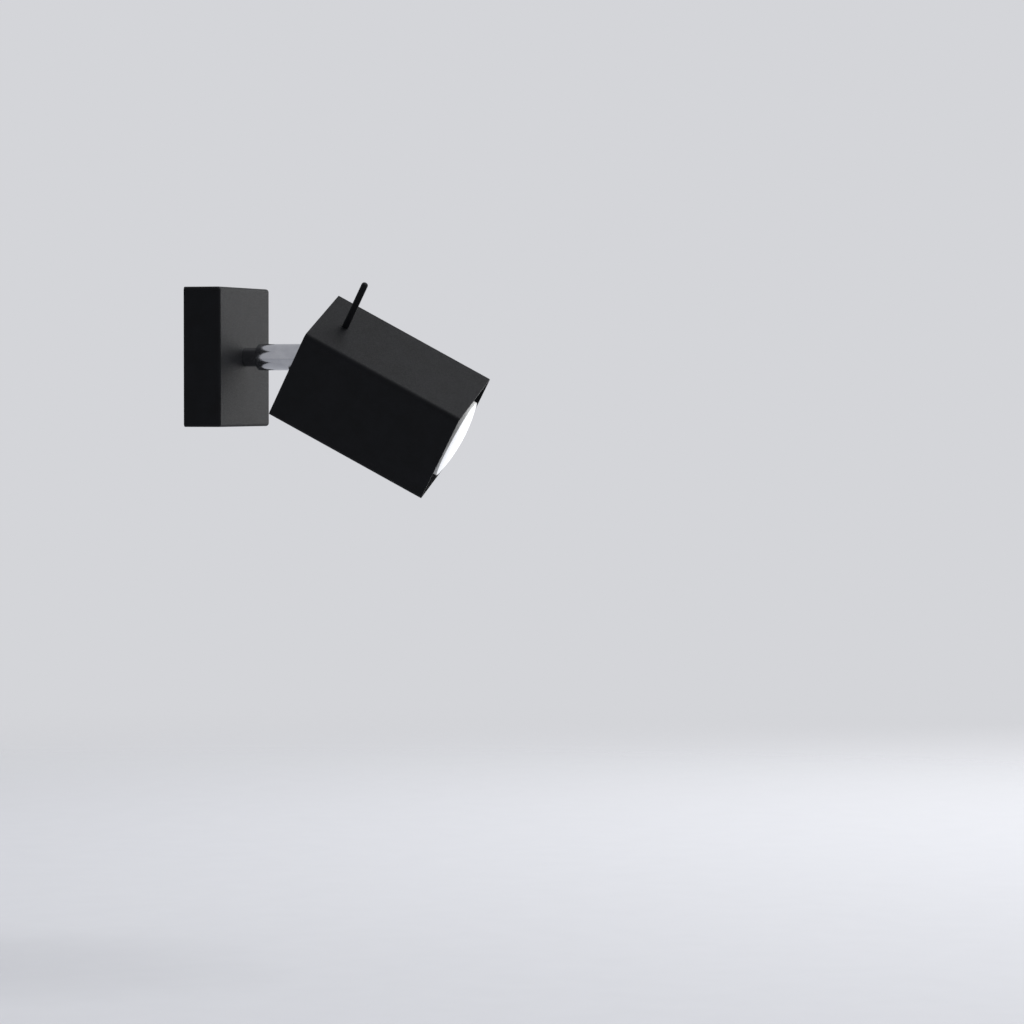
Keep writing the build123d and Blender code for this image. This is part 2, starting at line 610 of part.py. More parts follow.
BODIES = [
    (WALL, [base_cover, wall_bracket, cover_screws, terminal_block, terminal_clamps, terminal_screws,
            block_screw, earth_tag, earth_screw, neck_stem, stem_washer, stem_nut, friction_washer,
            circlip, base_leads]),
    (ARM, [socket_barrel, barrel_plug, disc_springs, pressure_cup]),
    (STUD, [ball_stud, stud_spring, stud_nut]),
    (HEAD, [slip_washer, carrier, head_shell, aiming_handle, shell_screw, holder_bracket,
            bracket_screws, lampholder, holder_screws, head_leads, lamp_body, lamp_lens, lamp_pins]),
]

os.makedirs("parts", exist_ok=True)
for frame, makers in BODIES:
    for make in makers:
        pieces = make()
        if not isinstance(pieces, list):
            pieces = [pieces]
        placed = [solid for piece in pieces for solid in (frame * piece).solids()]
        export_step(placed[0] if len(placed) == 1 else Compound(placed),
                    "parts/" + make.__name__ + ".step")
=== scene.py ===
"""Looks of a pivoting spotlight wall light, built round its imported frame.

Each sub-assembly is a class. Its fields are sizes in millimetres, measured in the piece's own
frame: x across, y up and z outwards from the wall, or along the head from the ball's centre.
"""

import logging
import math
from dataclasses import dataclass, field
from enum import Enum

import bmesh
import bpy
from mathutils import Matrix, Vector


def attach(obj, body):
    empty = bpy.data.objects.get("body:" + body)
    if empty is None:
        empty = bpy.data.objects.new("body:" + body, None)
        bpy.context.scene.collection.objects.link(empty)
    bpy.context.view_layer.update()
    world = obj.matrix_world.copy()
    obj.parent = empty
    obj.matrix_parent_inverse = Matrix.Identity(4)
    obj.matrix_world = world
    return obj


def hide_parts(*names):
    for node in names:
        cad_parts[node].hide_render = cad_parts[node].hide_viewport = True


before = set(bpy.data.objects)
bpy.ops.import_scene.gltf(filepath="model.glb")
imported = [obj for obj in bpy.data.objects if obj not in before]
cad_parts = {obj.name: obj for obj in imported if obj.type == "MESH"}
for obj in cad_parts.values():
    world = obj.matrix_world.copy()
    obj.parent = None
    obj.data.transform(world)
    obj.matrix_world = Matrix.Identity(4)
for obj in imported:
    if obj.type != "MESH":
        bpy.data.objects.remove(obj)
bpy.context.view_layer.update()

log = logging.getLogger("wall_light")

MM = 0.001
WAVE_UNIT = math.tau / 20                           # wave texture's scale for one band a metre
NOISE_SPAN = {"From Min": 0.3, "From Max": 0.7}     # where most of a noise's values lie
MIX_SHARE, MIX_FIRST, MIX_SECOND, MIX_RESULT = 0, 6, 7, 2   # sockets of a Mix node for colours

# Names or numbers of a node's inputs, to values or to the outputs that feed them.
Inputs = dict[str | int, object]


class Body(Enum):
    """Moving bodies of the light."""

    BASE = "wall_base"
    ARM = "arm_socket"
    STUD = "ball_stud_set"
    HEAD = "head"
    LAMP = "lamp"


class Slot(Enum):
    """Material slots of the record."""

    BLACK_COAT = "black_coat"
    BRASS = "brass"
    LAMP_LENS = "lamp_lens"
    LAMP_WHITE = "lamp_white"
    POLISHED = "polished"
    TERMINAL_PLASTIC = "terminal_plastic"
    ZINC_STEEL = "zinc_steel"


@dataclass(frozen=True)
class Aim:
    """Pose of the light in the photograph: angles in degrees, pivot in millimetres."""

    turn: float = 21.5
    tilt: float = 31.2
    spin: float = 2.9
    pivot_out: float = 64.1

    def wall(self) -> Matrix:
        """Frame of the base: z points out of the wall."""
        return Matrix.Scale(MM, 4) @ Matrix.Rotation(math.radians(90), 4, "X")

    def arm(self) -> Matrix:
        """Frame of the barrel, turned about the arm."""
        return self.wall() @ Matrix.Rotation(math.radians(self.turn), 4, "Z")

    def stud(self) -> Matrix:
        """Frame of the ball stud: origin at the ball's centre, z along the stud."""
        out = Matrix.Translation((0, 0, self.pivot_out))
        return self.arm() @ out @ Matrix.Rotation(math.radians(self.tilt), 4, "X")

    def head(self) -> Matrix:
        """Frame of the head, turned on the stud."""
        return self.stud() @ Matrix.Rotation(math.radians(self.spin), 4, "Z")


AIM = Aim()


# ---------------------------------------------------------------------------- colour and nodes
def linear(code: str) -> tuple[float, float, float, float]:
    """Turns an sRGB hex colour to linear.

    Args:
        code: colour such as "#1a1b1e".

    Returns:
        Linear red, green and blue, with an alpha of 1.
    """
    parts = [int(code[i:i + 2], 16) / 255 for i in (1, 3, 5)]
    red, green, blue = (c / 12.92 if c <= 0.04045 else ((c + 0.055) / 1.055) ** 2.4 for c in parts)
    return red, green, blue, 1.0


def wire(tree: bpy.types.NodeTree, node: bpy.types.Node, inputs: Inputs) -> None:
    """Sets or feeds a node's inputs.

    Args:
        tree: node tree of a material or of the world.
        node: a node in it.
        inputs: values, and outputs to link.
    """
    for name, value in inputs.items():
        if isinstance(value, bpy.types.NodeSocket):
            tree.links.new(value, node.inputs[name])
        else:
            node.inputs[name].default_value = value


def add(tree: bpy.types.NodeTree, kind: str, inputs: Inputs | None = None,
        **settings: object) -> bpy.types.Node:
    """Adds one shader node, with its settings and links.

    Args:
        tree: node tree of a material or of the world.
        kind: node type, without its ShaderNode prefix.
        inputs: values, and outputs to link.
        **settings: the node's own attributes.

    Returns:
        The new node.
    """
    made = tree.nodes.new("ShaderNode" + kind)
    for name, value in settings.items():
        setattr(made, name, value)
    wire(tree, made, inputs or {})
    return made


def tint(tree: bpy.types.NodeTree, factor: bpy.types.NodeSocket, low: str,
         high: str) -> bpy.types.NodeSocket:
    """Mixes two colours by a noise or a wave, whose middle values are spread out.

    Args:
        tree: the material's node tree.
        factor: the bottom of NOISE_SPAN or less gives low, its top or more gives high.
        low: sRGB hex colour.
        high: sRGB hex colour.

    Returns:
        The mixed colour's output.
    """
    share = add(tree, "MapRange", {"Value": factor, **NOISE_SPAN})
    mixed = add(tree, "Mix", {MIX_SHARE: share.outputs["Result"], MIX_FIRST: linear(low),
                              MIX_SECOND: linear(high)}, data_type="RGBA")
    return mixed.outputs[MIX_RESULT]


def per_mm(size: float) -> float:
    """Texture scale, on coordinates in metres, for features of size millimetres."""
    return 1 / (size * MM)


# ---------------------------------------------------------------------------- finishes
@dataclass(frozen=True)
class Finish:
    """A surface: what it is made of, and how it was made.

    Subclasses add the pattern. Its sizes and depths are millimetres, and it lies in the frame
    of the piece's sub-assembly. smoother and rougher say how far the roughness strays.
    """

    name: str
    colour: str
    roughness: float

    def material(self, place: Matrix) -> bpy.types.Material:
        """Makes this finish's material, or finds the one made before.

        Args:
            place: frame that the pattern lies in.

        Returns:
            The material.
        """
        turn = place.to_3x3().normalized().to_4x4()
        key = self.name + "".join(f"_{round(math.degrees(a))}" for a in turn.to_euler())
        found = bpy.data.materials.get(key)
        if found:
            return found
        made = bpy.data.materials.new(key)
        made.use_nodes = True
        tree = made.node_tree
        tree.nodes.clear()
        coords = add(tree, "TexCoord").outputs["Object"]
        local = add(tree, "Mapping", {"Vector": coords, "Location": place.translation,
                                      "Rotation": turn.to_euler()}, vector_type="TEXTURE")
        shader = add(tree, "BsdfPrincipled", {"Base Color": linear(self.colour),
                                              "Roughness": self.roughness})
        wire(tree, shader, self.pattern(tree, local.outputs["Vector"]))
        add(tree, "OutputMaterial", {"Surface": shader.outputs["BSDF"]})
        return made

    def pattern(self, tree: bpy.types.NodeTree, where: bpy.types.NodeSocket) -> Inputs:
        """Adds colour variation, roughness variation and bump, and returns them; none here."""
        return {}


@dataclass(frozen=True)
class PowderCoat(Finish):
    """Polyester powder baked on steel: a dry, even film with a fine pebbled skin.

    The eye sees no streaks, only a soft grain and a slow orange peel that breaks up highlights.
    The real grain is about 0.2 mm, too fine to show, and is drawn coarser.
    """

    lighter: str = "#141518"
    smoother: float = 0.08
    rougher: float = 0.10
    grain: float = 0.7
    grain_depth: float = 0.05
    peel: float = 3.5
    peel_depth: float = 0.06
    mottle: float = 9.0
    gloss: float = 0.10

    def pattern(self, tree: bpy.types.NodeTree, where: bpy.types.NodeSocket) -> Inputs:
        """Adds the pebbled skin, its orange peel and a faint mottle.

        Args:
            tree: the material's node tree.
            where: place on the piece, in metres.

        Returns:
            What the pattern gives the surface's shader.
        """
        grain = add(tree, "TexNoise", {"Vector": where, "Scale": per_mm(self.grain),
                                       "Detail": 2.0, "Roughness": 0.55})
        peel = add(tree, "TexNoise", {"Vector": where, "Scale": per_mm(self.peel), "Detail": 1.0})
        mottle = add(tree, "TexNoise", {"Vector": where, "Scale": per_mm(self.mottle),
                                        "Detail": 3.0})
        colour = tint(tree, mottle.outputs["Fac"], self.colour, self.lighter)
        rough = add(tree, "MapRange", {"Value": grain.outputs["Fac"], **NOISE_SPAN,
                                       "To Min": self.roughness - self.smoother,
                                       "To Max": self.roughness + self.rougher})
        slow = add(tree, "Bump", {"Height": peel.outputs["Fac"], "Strength": 0.25,
                                  "Distance": self.peel_depth * MM})
        fine = add(tree, "Bump", {"Height": grain.outputs["Fac"], "Strength": 0.35,
                                  "Distance": self.grain_depth * MM,
                                  "Normal": slow.outputs["Normal"]})
        return {"Base Color": colour, "Roughness": rough.outputs["Result"],
                "Normal": fine.outputs["Normal"], "Specular IOR Level": self.gloss}


@dataclass(frozen=True)
class PolishedNickel(Finish):
    """Nickel plate over turned and buffed brass: a clear mirror with hair-fine turning lines.

    The real lines are about 0.1 mm apart, too fine to show, and are drawn coarser.
    """

    darker: str = "#a8a9ae"
    rougher: float = 0.07
    line: float = 0.45
    line_depth: float = 0.01
    smear: float = 7.0

    def pattern(self, tree: bpy.types.NodeTree, where: bpy.types.NodeSocket) -> Inputs:
        """Adds the turning lines round the axis and faint buffing smears.

        Args:
            tree: the material's node tree.
            where: place on the piece, in metres.

        Returns:
            What the pattern gives the surface's shader.
        """
        lines = add(tree, "TexWave", {"Vector": where, "Scale": per_mm(self.line) * WAVE_UNIT,
                                      "Distortion": 0.6, "Detail": 2.0}, bands_direction="Z")
        smears = add(tree, "TexNoise", {"Vector": where, "Scale": per_mm(self.smear),
                                        "Detail": 3.0})
        rough = add(tree, "MapRange", {"Value": smears.outputs["Fac"], "From Min": 0.35,
                                       "From Max": 0.7, "To Min": self.roughness,
                                       "To Max": self.roughness + self.rougher})
        bump = add(tree, "Bump", {"Height": lines.outputs["Fac"], "Strength": 0.05,
                                  "Distance": self.line_depth * MM})
        colour = tint(tree, smears.outputs["Fac"], self.darker, self.colour)
        return {"Base Color": colour, "Roughness": rough.outputs["Result"],
                "Normal": bump.outputs["Normal"], "Metallic": 1.0}


@dataclass(frozen=True)
class ZincPlate(Finish):
    """Bright zinc over pressed or turned steel: soft metal sheen with cloudy passivation.

    The real rolling streaks are under 0.1 mm wide, too fine to show, and are drawn coarser.
    """

    darker: str = "#b0b2b4"
    smoother: float = 0.08
    rougher: float = 0.10
    streak: float = 0.35
    streak_depth: float = 0.02
    stretch: float = 0.06
    cloud: float = 5.0

    def pattern(self, tree: bpy.types.NodeTree, where: bpy.types.NodeSocket) -> Inputs:
        """Adds clouds and the rolling streaks along x.

        Args:
            tree: the material's node tree.
            where: place on the piece, in metres.

        Returns:
            What the pattern gives the surface's shader.
        """
        cloud = add(tree, "TexNoise", {"Vector": where, "Scale": per_mm(self.cloud),
                                       "Detail": 4.0})
        stretched = add(tree, "Mapping", {"Vector": where, "Scale": (self.stretch, 1.0, 1.0)})
        streaks = add(tree, "TexNoise", {"Vector": stretched.outputs["Vector"],
                                         "Scale": per_mm(self.streak), "Detail": 2.0})
        rough = add(tree, "MapRange", {"Value": cloud.outputs["Fac"], **NOISE_SPAN,
                                       "To Min": self.roughness - self.smoother,
                                       "To Max": self.roughness + self.rougher})
        bump = add(tree, "Bump", {"Height": streaks.outputs["Fac"], "Strength": 0.18,
                                  "Distance": self.streak_depth * MM})
        colour = tint(tree, cloud.outputs["Fac"], self.darker, self.colour)
        return {"Base Color": colour, "Roughness": rough.outputs["Result"],
                "Normal": bump.outputs["Normal"], "Metallic": 1.0}


@dataclass(frozen=True)
class TurnedBrass(Finish):
    """Free-cutting brass straight from the lathe: warm, with visible tool lines.

    The real lines are about 0.1 mm apart, and are drawn coarser so that they show.
    """

    darker: str = "#a98a4c"
    line: float = 0.3
    line_depth: float = 0.02
    tarnish: float = 2.5

    def pattern(self, tree: bpy.types.NodeTree, where: bpy.types.NodeSocket) -> Inputs:
        """Adds tool lines and a slight tarnish.

        Args:
            tree: the material's node tree.
            where: place on the piece, in metres.

        Returns:
            What the pattern gives the surface's shader.
        """
        lines = add(tree, "TexWave", {"Vector": where, "Scale": per_mm(self.line) * WAVE_UNIT,
                                      "Distortion": 1.2, "Detail": 2.0}, bands_direction="Z")
        tarnish = add(tree, "TexNoise", {"Vector": where, "Scale": per_mm(self.tarnish),
                                         "Detail": 3.0})
        bump = add(tree, "Bump", {"Height": lines.outputs["Fac"], "Strength": 0.12,
                                  "Distance": self.line_depth * MM})
        colour = tint(tree, tarnish.outputs["Fac"], self.darker, self.colour)
        return {"Base Color": colour, "Normal": bump.outputs["Normal"], "Metallic": 1.0}


@dataclass(frozen=True)
class Moulded(Finish):
    """Injection-moulded plastic or pressed ceramic: even colour, spark-eroded mould skin.

    The real skin is finer than 0.1 mm, too fine to show, and is drawn coarser.
    """

    shade: str = "#d2cfc6"
    smoother: float = 0.05
    rougher: float = 0.08
    grain: float = 0.5
    depth: float = 0.02
    flow: float = 6.0
    coat: float = 0.0
    coat_roughness: float = 0.08

    def pattern(self, tree: bpy.types.NodeTree, where: bpy.types.NodeSocket) -> Inputs:
        """Adds the mould's skin, slow flow marks and, on ceramic, the glaze.

        Args:
            tree: the material's node tree.
            where: place on the piece, in metres.

        Returns:
            What the pattern gives the surface's shader.
        """
        skin = add(tree, "TexNoise", {"Vector": where, "Scale": per_mm(self.grain),
                                      "Detail": 2.0})
        flow = add(tree, "TexNoise", {"Vector": where, "Scale": per_mm(self.flow), "Detail": 2.0})
        rough = add(tree, "MapRange", {"Value": skin.outputs["Fac"], **NOISE_SPAN,
                                       "To Min": self.roughness - self.smoother,
                                       "To Max": self.roughness + self.rougher})
        bump = add(tree, "Bump", {"Height": skin.outputs["Fac"], "Strength": 0.3,
                                  "Distance": self.depth * MM})
        colour = tint(tree, flow.outputs["Fac"], self.shade, self.colour)
        return {"Base Color": colour, "Roughness": rough.outputs["Result"],
                "Normal": bump.outputs["Normal"], "Coat Weight": self.coat,
                "Coat Roughness": self.coat_roughness}


@dataclass(frozen=True)
class LitDiffuser(Finish):
    """Opal polycarbonate lens with small square prisms on its back, lit from behind.

    The eye sees an even white glow with a faint square grid, a little dimmer towards the rim.
    """

    prism: float = 1.6
    prism_depth: float = 0.1
    prism_middle: str = "#ffffff"
    prism_edge: str = "#c6ccd8"
    power: float = 0.80
    rim_power: float = 0.52
    radius: float = 24.05
    even_share: float = 0.55

    def pattern(self, tree: bpy.types.NodeTree, where: bpy.types.NodeSocket) -> Inputs:
        """Adds the prisms, in the light and as bump, and the dimming from even middle to rim.

        Args:
            tree: the material's node tree.
            where: place on the piece, in metres.

        Returns:
            What the pattern gives the surface's shader.
        """
        cells = add(tree, "TexVoronoi", {"Vector": where, "Scale": per_mm(self.prism),
                                         "Randomness": 0.0}, voronoi_dimensions="2D")
        bump = add(tree, "Bump", {"Height": cells.outputs["Distance"], "Strength": 0.3,
                                  "Distance": self.prism_depth * MM})
        across = add(tree, "VectorMath", {0: where, 1: (1.0, 1.0, 0.0)}, operation="MULTIPLY")
        out = add(tree, "VectorMath", {0: across.outputs["Vector"]}, operation="LENGTH")
        power = add(tree, "MapRange", {"Value": out.outputs["Value"],
                                       "From Min": self.even_share * self.radius * MM,
                                       "From Max": self.radius * MM, "To Min": self.power,
                                       "To Max": self.rim_power},
                    interpolation_type="SMOOTHSTEP")
        glow = tint(tree, cells.outputs["Distance"], self.prism_middle, self.prism_edge)
        return {"Normal": bump.outputs["Normal"], "Emission Color": glow,
                "Emission Strength": power.outputs["Result"]}


# Cover, tube and handle: baked powder, dry, faintly pebbled and nearly black.
BLACK_COAT = PowderCoat("black_powder_coat", "#0f1012", 0.60)
# Screws in the black parts: black zinc plate, with a finer skin and more gloss than powder.
BLACK_ZINC = PowderCoat("black_zinc_screw", "#18191b", 0.40, lighter="#202124", grain=0.4,
                        gloss=0.4)
# Neck, barrel, plug and ball stud: buffed nickel plate, a clear mirror.
POLISHED = PolishedNickel("polished_nickel", "#b4b5b9", 0.07)
# Pressings, nuts and inner screws: bright zinc plate, a soft and cloudy sheen.
ZINC = ZincPlate("zinc_plated_steel", "#bebfc1", 0.36)
# Springs, spring washer and circlip: bare hardened steel, darker and sharper than zinc.
SPRING = ZincPlate("hardened_spring_steel", "#95979b", 0.30, darker="#77797e")
# Clamps, earth fittings, pressure cup and lamp pins: turned brass, warm and bright.
BRASS = TurnedBrass("turned_brass", "#ceb16f", 0.26)
# Terminal block: moulded polyamide, off-white with a satin skin.
POLYAMIDE = Moulded("moulded_polyamide", "#e4e2dc", 0.48, shade="#d8d5cc")
# Friction and slip washers: uncoloured nylon, a little duller and warmer than the block.
NYLON = Moulded("natural_nylon", "#dcd9d1", 0.45, shade="#cfcbc0")
# Lampholder: pressed steatite, cream under a clear glaze with a sharp highlight.
STEATITE = Moulded("glazed_steatite", "#e7e2d9", 0.30, shade="#dcd5c8", coat=0.8, depth=0.01)
# Lamp's housing and ribs: white plastic, pale and satin.
LAMP_WHITE = Moulded("white_lamp_housing", "#d2d2d0", 0.40, shade="#c6c6c3")
# Leads: silicone rubber insulation, dull, with a coarser skin than the mouldings.
SLEEVE = Moulded("silicone_sleeve", "#cecbc5", 0.55, shade="#bfbbb2", grain=0.8)
# Lens: opal polycarbonate, glowing.
LENS = LitDiffuser("lit_opal_lens", "#a3a5aa", 0.30)


# ---------------------------------------------------------------------------- mesh making
def turned(profile: list[tuple[float, float]], steps: int = 96) -> bmesh.types.BMesh:
    """Spins an outline round z, as a lathe would.

    Args:
        profile: (radius, z) corners in order. A profile that starts off the axis is closed
            into a ring.
        steps: facets round the turn.

    Returns:
        A closed mesh in the sub-assembly's own millimetres.
    """
    bm = bmesh.new()
    corners = [bm.verts.new((radius, 0, z)) for radius, z in profile]
    after = corners[1:] + corners[:1] if profile[0][0] > 0 else corners[1:]
    edges = [bm.edges.new(pair) for pair in zip(corners, after)]
    bmesh.ops.spin(bm, geom=corners + edges, cent=(0, 0, 0), axis=(0, 0, 1),
                   angle=math.tau, steps=steps, use_merge=True)
    bmesh.ops.remove_doubles(bm, verts=bm.verts, dist=1e-4)
    bmesh.ops.recalc_face_normals(bm, faces=bm.faces)
    return bm


def thread(radius: float, start: float, end: float, pitch: float) -> list[tuple[float, float]]:
    """Outline of a rolled thread, as rings. A metric thread is 0.54 of its pitch deep.

    Args:
        radius: outer radius.
        start: z of the first crest.
        end: z of the last crest.
        pitch: crest to crest.

    Returns:
        (radius, z) corners from start to end.
    """
    count = max(1, round(abs(end - start) / pitch))
    step = (end - start) / count
    depth = 0.54 * pitch
    crest_start, crest_end, root = 0.42 * step, 0.58 * step, 0.94 * step
    corners = [(radius - depth / 2, start)]
    for i in range(count):
        low = start + i * step
        corners += [(radius, low + crest_start), (radius, low + crest_end),
                    (radius - depth, low + root)]
    return corners[:-1] + [(radius - depth / 2, end)]


def sharp_edges(bm: bmesh.types.BMesh, angle: float) -> list[bmesh.types.BMEdge]:
    """Edges whose faces meet at more than angle degrees."""
    limit = math.radians(angle)
    return [e for e in bm.edges if len(e.link_faces) == 2 and e.calc_face_angle(0.0) > limit]


def ease(bm: bmesh.types.BMesh, radius: float, angle: float = 40.0, segments: int = 2) -> None:
    """Rounds a mesh's sharp edges, as tumbling or a die's radius does.

    Args:
        bm: the mesh.
        radius: width of the rounding, in the mesh's own unit.
        angle: edges sharper than this many degrees are rounded.
        segments: facets across the rounding.
    """
    bmesh.ops.bevel(bm, geom=sharp_edges(bm, angle), offset=radius, offset_type="OFFSET",
                    segments=segments, profile=0.5, affect="EDGES", material=-1,
                    clamp_overlap=True)


def cut_flats(bm: bmesh.types.BMesh, across: float, count: int) -> None:
    """Cuts spanner flats on a turned blank.

    Args:
        bm: the blank, on the z axis.
        across: size across the flats.
        count: how many flats, evenly spaced.
    """
    for i in range(count):
        turn = math.tau * i / count
        way = Vector((math.cos(turn), math.sin(turn), 0))
        bmesh.ops.bisect_plane(bm, geom=bm.verts[:] + bm.edges[:] + bm.faces[:],
                               plane_co=way * across / 2, plane_no=way, clear_outer=True)
        open_edges = [e for e in bm.edges if e.is_boundary]
        bmesh.ops.contextual_create(bm, geom=open_edges)
    bmesh.ops.recalc_face_normals(bm, faces=bm.faces)


def hex_nut(across: float, bore: float, low: float, high: float, chamfer: float = 0.5,
            inset: float = 0.2, lead_in: float = 0.3) -> bmesh.types.BMesh:
    """A hexagon nut with turned chamfers on both faces.

    Args:
        across: size across flats.
        bore: radius of the thread.
        low: z of the rear face.
        high: z of the front face.
        chamfer: height of the turned chamfer at the corners.
        inset: how far each face's edge lies inside the flats.
        lead_in: chamfer at both ends of the bore.

    Returns:
        The nut's mesh.
    """
    corner = across / math.sqrt(3)
    face = across / 2 - inset
    blank = turned([(bore, low + lead_in), (bore + lead_in, low), (face, low),
                    (corner, low + chamfer), (corner, high - chamfer), (face, high),
                    (bore + lead_in, high), (bore, high - lead_in)], steps=72)
    cut_flats(blank, across, count=6)
    return blank


def merged_copy(node: str) -> bmesh.types.BMesh:
    """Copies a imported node's mesh, in metres, and joins its loose triangles.

    Args:
        node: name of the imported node.

    Returns:
        A closed mesh whose flat faces are single polygons where they can be.
    """
    bm = bmesh.new()
    bm.from_mesh(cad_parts[node].data)
    bmesh.ops.remove_doubles(bm, verts=bm.verts, dist=1e-6)
    bmesh.ops.dissolve_limit(bm, angle_limit=math.radians(0.5), verts=bm.verts, edges=bm.edges,
                             use_dissolve_boundaries=False)
    return bm


def repeat(bm: bmesh.types.BMesh, places: list[Matrix]) -> bmesh.types.BMesh:
    """Copies a mesh to several places.

    Args:
        bm: the mesh, which is used up.
        places: where the copies go.

    Returns:
        One mesh with all copies.
    """
    one = bpy.data.meshes.new("one")
    bm.to_mesh(one)
    bm.free()
    many = bmesh.new()
    for place in places:
        before = len(many.verts)
        many.from_mesh(one)
        many.verts.ensure_lookup_table()
        bmesh.ops.transform(many, matrix=place, verts=many.verts[before:])
    bpy.data.meshes.remove(one)
    return many


@dataclass(frozen=True)
class Assembly:
    """Pieces that ride on one body, and whose shapes and patterns lie in one frame, place."""

    body: Body
    place: Matrix
    sheet_edge: float = 0.22

    def dress(self, finishes: dict[str, Finish]) -> None:
        """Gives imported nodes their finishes.

        Args:
            finishes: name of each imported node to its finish.
        """
        for node, finish in finishes.items():
            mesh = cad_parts[node].data
            mesh.materials.clear()
            mesh.materials.append(finish.material(self.place))
            log.info("%s keeps its packed shape, in %s", node, finish.name)

    def press(self, node: str, name: str) -> None:
        """Redraws a node of pressed sheet, with the die's rounding along its sheared edges.

        Args:
            node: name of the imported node.
            name: name of the piece that replaces it.
        """
        bm = merged_copy(node)
        ease(bm, self.sheet_edge * MM)
        self.publish(bm, name, Slot.ZINC_STEEL, ZINC, (node,), in_metres=True, eased=True)

    def publish(self, bm: bmesh.types.BMesh, name: str, slot: Slot, finish: Finish,
                stands_for: tuple[str, ...] = (), in_metres: bool = False, sharp: float = 35.0,
                eased: bool = False) -> None:
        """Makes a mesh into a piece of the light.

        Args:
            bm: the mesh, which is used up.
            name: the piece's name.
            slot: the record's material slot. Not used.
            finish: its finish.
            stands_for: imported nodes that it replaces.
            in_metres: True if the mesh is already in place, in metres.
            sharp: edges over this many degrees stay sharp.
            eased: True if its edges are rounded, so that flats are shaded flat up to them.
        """
        if not in_metres:
            bmesh.ops.transform(bm, matrix=self.place, verts=bm.verts)
        mesh = bpy.data.meshes.new(name)
        bm.to_mesh(mesh)
        bm.free()
        mesh.shade_smooth()
        mesh.set_sharp_from_angle(angle=math.radians(sharp))
        mesh.materials.append(finish.material(self.place))
        piece = bpy.data.objects.new(name, mesh)
        bpy.context.scene.collection.objects.link(piece)
        if eased:
            flats = piece.modifiers.new("flats", "WEIGHTED_NORMAL")
            flats.keep_sharp = True
        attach(piece, self.body.value)
        if stands_for:
            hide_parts(*stands_for)
        log.info("%s made, %d faces", name, len(mesh.polygons))


# ---------------------------------------------------------------------------- sub-assemblies
@dataclass(frozen=True)
class WallBase(Assembly):
    """Square cover on its wall bracket, with the terminal block and the arm's neck."""

    body: Body = Body.BASE
    place: Matrix = field(default_factory=AIM.wall)
    cover_inner: float = 21.7
    cover_front: float = 23.2
    nut_across: float = 14.0
    nut_height: float = 3.0
    nut_play: float = 0.03
    washer_height: float = 0.8
    thread_radius: float = 5.0
    thread_pitch: float = 1.0
    undercut: float = 0.4
    stem_bore: float = 3.2
    stem_tail: float = 1.6
    neck_radius: float = 5.7
    neck_length: float = 9.0
    neck_chamfer: float = 0.4
    spigot_radius: float = 4.8
    spigot_end: float = 40.8
    spigot_chamfer: float = 0.3
    groove: tuple[float, float] = (39.07, 39.93)
    groove_depth: float = 0.6
    block_size: tuple[float, float, float] = (30.0, 13.0, 12.0)
    block_rear: float = 1.5
    block_up: float = 19.0
    pole_pitch: float = 10.0
    rib_width: float = 1.4
    rib_rise: float = 0.4
    rib_round: float = 0.3
    rib_aside: float = 1.0

    def build(self) -> None:
        """Makes and dresses every piece of the base."""
        self.dress({"base_cover": BLACK_COAT, "cover_screws": BLACK_ZINC,
                    "terminal_clamps": BRASS, "terminal_screws": ZINC,
                    "terminal_block": POLYAMIDE, "block_screw": ZINC, "earth_tag": BRASS,
                    "earth_screw": BRASS, "stem_washer": SPRING, "friction_washer": NYLON,
                    "circlip": SPRING, "base_leads": SLEEVE})
        self.press("wall_bracket", "bracket_pressing")
        self.terminal_ribs()
        self.stem()

    def terminal_ribs(self) -> None:
        """Insulating ribs beside the poles, moulded on the block's top."""
        width, depth, height = self.block_size
        bm = bmesh.new()
        bmesh.ops.create_cube(bm, size=1.0)
        bmesh.ops.scale(bm, vec=(self.rib_width, depth, 2 * self.rib_rise), verts=bm.verts)
        ease(bm, self.rib_round, segments=3)
        top = self.block_rear + height
        end = width / 2 - self.rib_width / 2
        spots = [Matrix.Translation((x, self.block_up, top))
                 for x in (-end, -self.pole_pitch / 2 - self.rib_aside, end)]
        self.publish(repeat(bm, spots), "terminal_ribs", Slot.TERMINAL_PLASTIC, POLYAMIDE)

    def stem(self) -> None:
        """Turned neck with its thread, shoulder, spigot and clip groove, and the nut on it."""
        nut_front = self.cover_inner - self.washer_height
        nut_rear = nut_front - self.nut_height
        rear = nut_rear - self.stem_tail
        front, shoulder = self.cover_front, self.cover_front + self.neck_length
        bore, neck, spigot = self.stem_bore, self.neck_radius, self.spigot_radius
        edge, low, high = self.neck_chamfer, *self.groove
        profile = [(bore, rear),
                   *thread(self.thread_radius, rear, front - self.undercut, self.thread_pitch),
                   (self.thread_radius - self.undercut, front), (neck, front),
                   (neck, shoulder - edge), (neck - edge, shoulder), (spigot, shoulder),
                   (spigot, low), (spigot - self.groove_depth, low),
                   (spigot - self.groove_depth, high), (spigot, high),
                   (spigot, self.spigot_end - self.spigot_chamfer),
                   (spigot - self.spigot_chamfer, self.spigot_end), (bore, self.spigot_end)]
        self.publish(turned(profile), "turned_neck", Slot.POLISHED, POLISHED, ("neck_stem",))
        nut = hex_nut(self.nut_across, self.thread_radius + self.nut_play, nut_rear, nut_front)
        self.publish(nut, "neck_nut", Slot.ZINC_STEEL, ZINC, ("stem_nut",), sharp=25.0)


@dataclass(frozen=True)
class Arm(Assembly):
    """Polished barrel that turns on the neck and holds the ball."""

    body: Body = Body.ARM
    place: Matrix = field(default_factory=AIM.arm)

    def build(self) -> None:
        """Dresses the barrel and what it holds."""
        self.dress({"socket_barrel": POLISHED, "barrel_plug": POLISHED, "disc_springs": SPRING,
                    "pressure_cup": BRASS})


